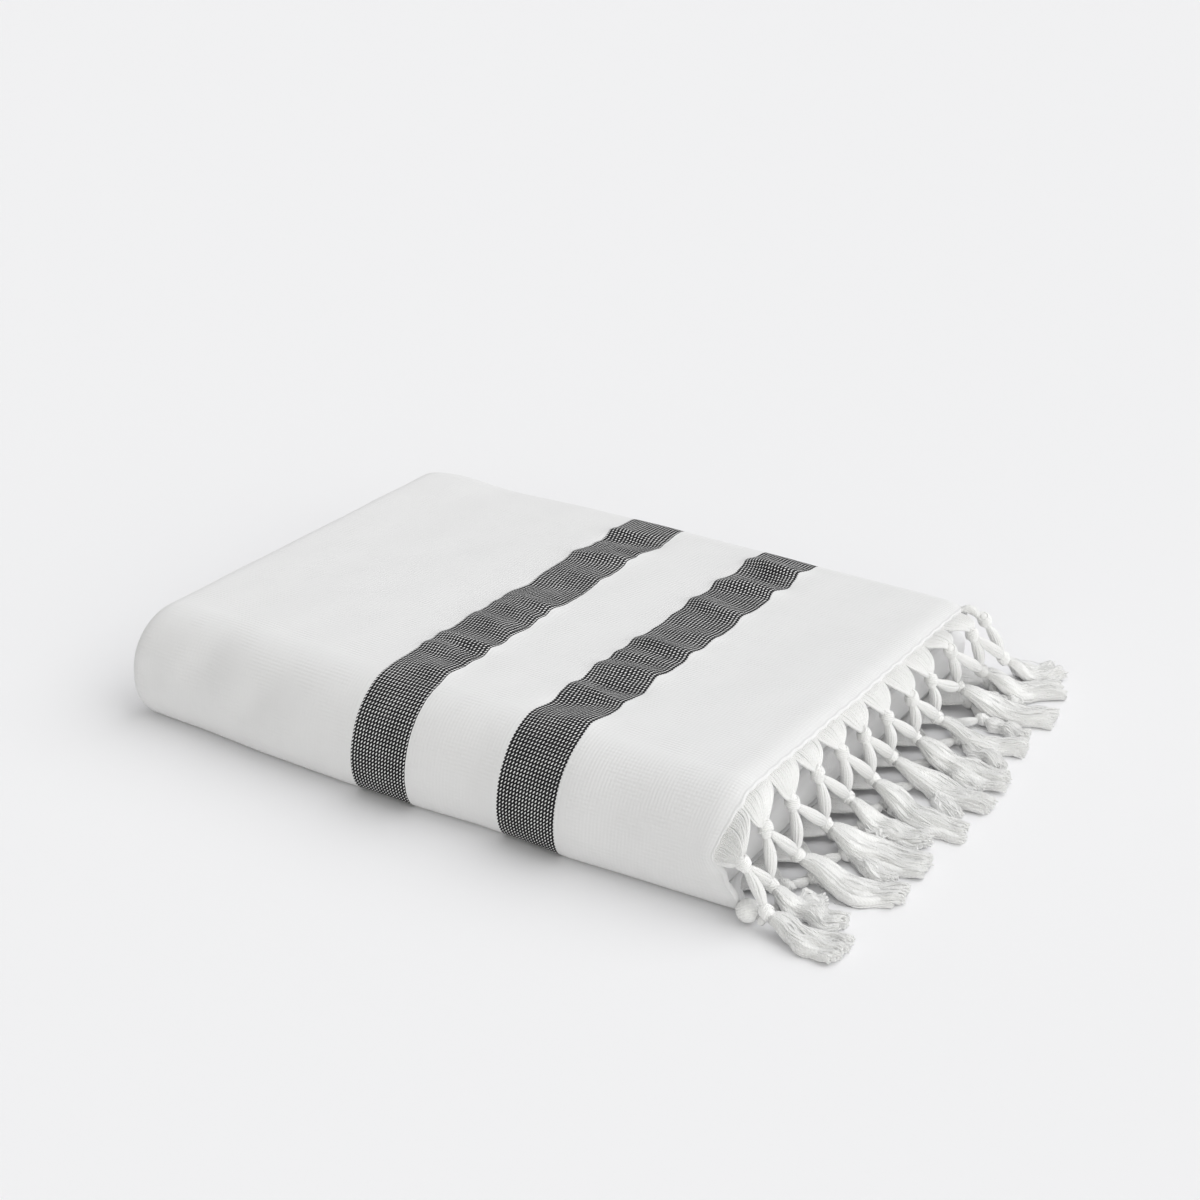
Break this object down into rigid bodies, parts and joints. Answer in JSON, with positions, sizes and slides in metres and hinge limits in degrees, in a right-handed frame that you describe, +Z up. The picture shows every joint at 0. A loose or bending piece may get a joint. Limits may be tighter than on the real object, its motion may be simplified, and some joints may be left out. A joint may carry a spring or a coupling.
{
  "type": "folded hammam towel",
  "caption": "Folded white cotton hammam towel with black woven stripes and a knotted, tasselled fringe.",
  "frame": {"origin": "centre of the flat underside of the folded cloth, on the table", "axes": "+X along the front fold towards the fringed end, +Y towards the back fold, +Z up"},
  "size_m": [0.5055, 0.3861, 0.0687],
  "materials": {
    "white_cotton_cloth": "white plain weave with two black and white woven stripes, matte",
    "white_fringe_yarn": "loose white cotton yarn, matte"
  },
  "bodies": {
    "root": {"towel_cloth": "white_cotton_cloth", "fringe_upper": "white_fringe_yarn", "fringe_lower": "white_fringe_yarn"}
  },
  "joints": []
}
